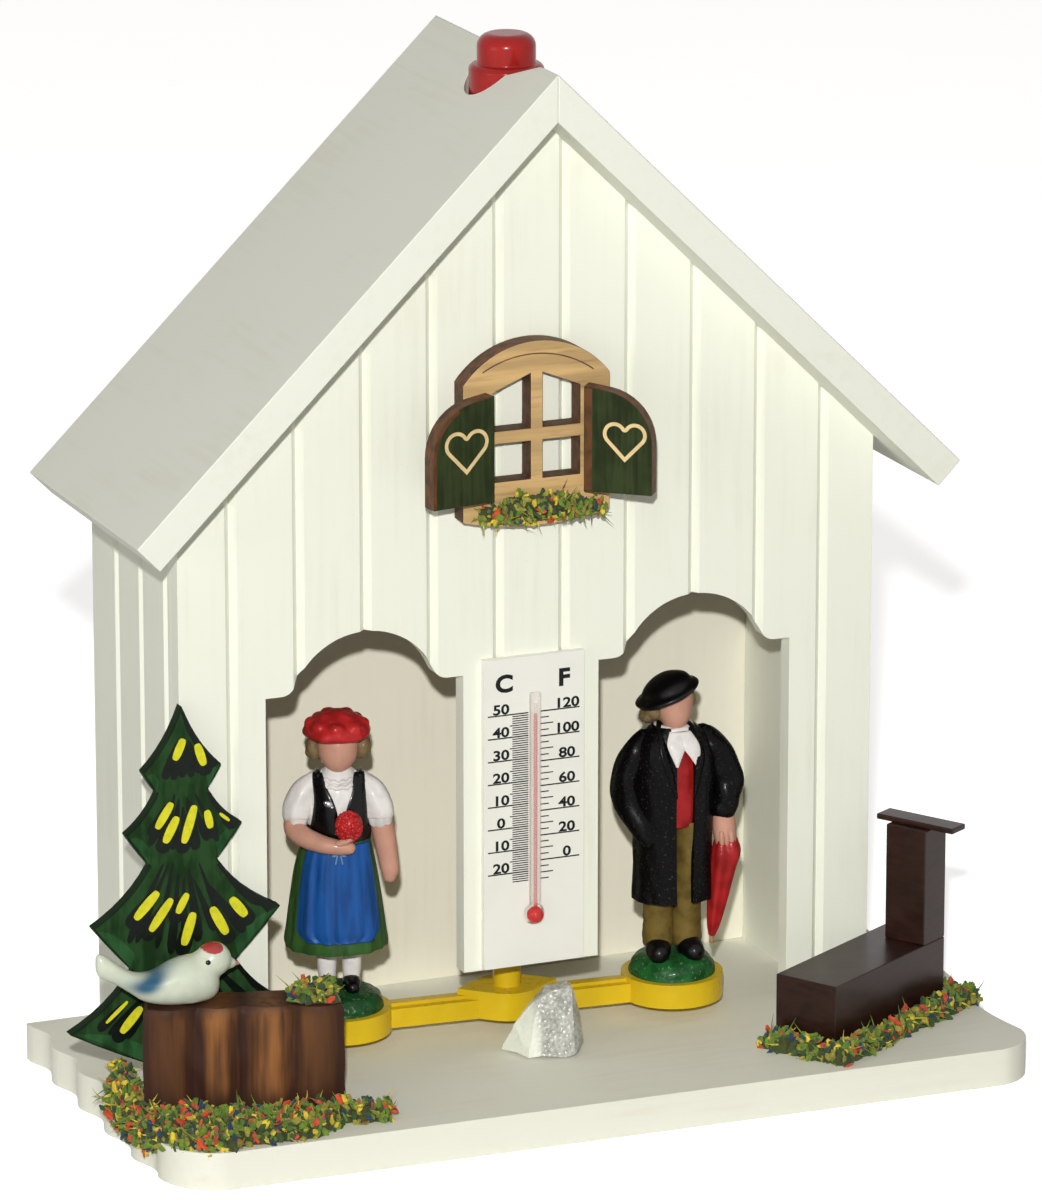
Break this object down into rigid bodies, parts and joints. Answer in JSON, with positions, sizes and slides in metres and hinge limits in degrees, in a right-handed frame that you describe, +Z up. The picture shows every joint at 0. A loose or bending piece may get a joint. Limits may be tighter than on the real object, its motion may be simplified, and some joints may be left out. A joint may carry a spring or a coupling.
{
  "type": "weather house",
  "caption": "Gabled wooden weather house with arched doorways; a gut-hung bar swings a woman and a man in and out, with a thermometer on the post between them and a small garden in front.",
  "frame": {"origin": "on the underside of the base board, below the ridge, half way between the board's back edge and the mean line of its front edge", "axes": "+Z up, -Y out of the front doorways, +X to the viewer's right along the front wall"},
  "size_m": [0.1441, 0.0672, 0.1567],
  "materials": {
    "base_paint": "painted, satin",
    "wall_paint": "painted, satin",
    "back_paint": "painted, matte",
    "roof_paint": "painted, satin",
    "bare_wood": "bare",
    "zinc": "zinc plated",
    "knob_red": "glossy",
    "collar_steel": "plain",
    "gut": "translucent dried gut",
    "brass": "turned",
    "bar_yellow": "glossy",
    "scale_white": "printed scale",
    "tube_glass": "clear",
    "spirit_red": "coloured spirit",
    "window_ply": "varnished, burnt edges",
    "shutter_green": "painted, burnt edges",
    "tree_green": "painted",
    "stump_brown": "stained",
    "bird_paint": "painted",
    "moss_green": "dyed flock and dried moss",
    "well_brown": "glossy varnish",
    "quartz": "rough crystals",
    "woman_paint": "hand painted",
    "man_paint": "hand painted"
  },
  "bodies": {
    "house": {"base_board": "base_paint", "front_wall": "wall_paint", "left_wall": "wall_paint", "right_wall": "wall_paint", "back_panel": "back_paint", "left_roof_panel": "roof_paint", "right_roof_panel": "roof_paint", "ridge_block": "bare_wood", "stem_guide": "bare_wood", "base_screws": "zinc", "thermometer_plate": "scale_white", "thermometer_tube": "tube_glass", "thermometer_spirit": "spirit_red", "window_frame": "window_ply", "left_shutter": "shutter_green", "right_shutter": "shutter_green", "fir_tree": "tree_green", "tree_stump": "stump_brown", "bird": "bird_paint", "window_moss": "moss_green", "stump_moss": "moss_green", "left_moss": "moss_green", "right_moss": "moss_green", "well_trough": "well_brown", "well_post": "well_brown", "post_cap": "well_brown", "quartz_stone": "quartz"},
    "knob": {"chimney_knob": "knob_red", "knob_collar": "collar_steel", "gut_string": "gut"},
    "carrier": {"swing_bar": "bar_yellow", "gut_ferrule": "brass", "woman_figure": "woman_paint", "man_figure": "man_paint"}
  },
  "joints": [
    {"name": "knob_turn", "type": "hinge", "parent": "house", "child": "knob", "pos_m": [0, 0.00568, 0.14], "axis": [0, 0, 1], "range_deg": [-10, 10]},
    {"name": "gut_twist", "type": "hinge", "parent": "knob", "child": "carrier", "pos_m": [0, 0.00568, 0.07], "axis": [0, 0, 1], "range_deg": [-15.8, 24.2], "stiffness_Nm_per_rad": 0.0004}
  ]
}
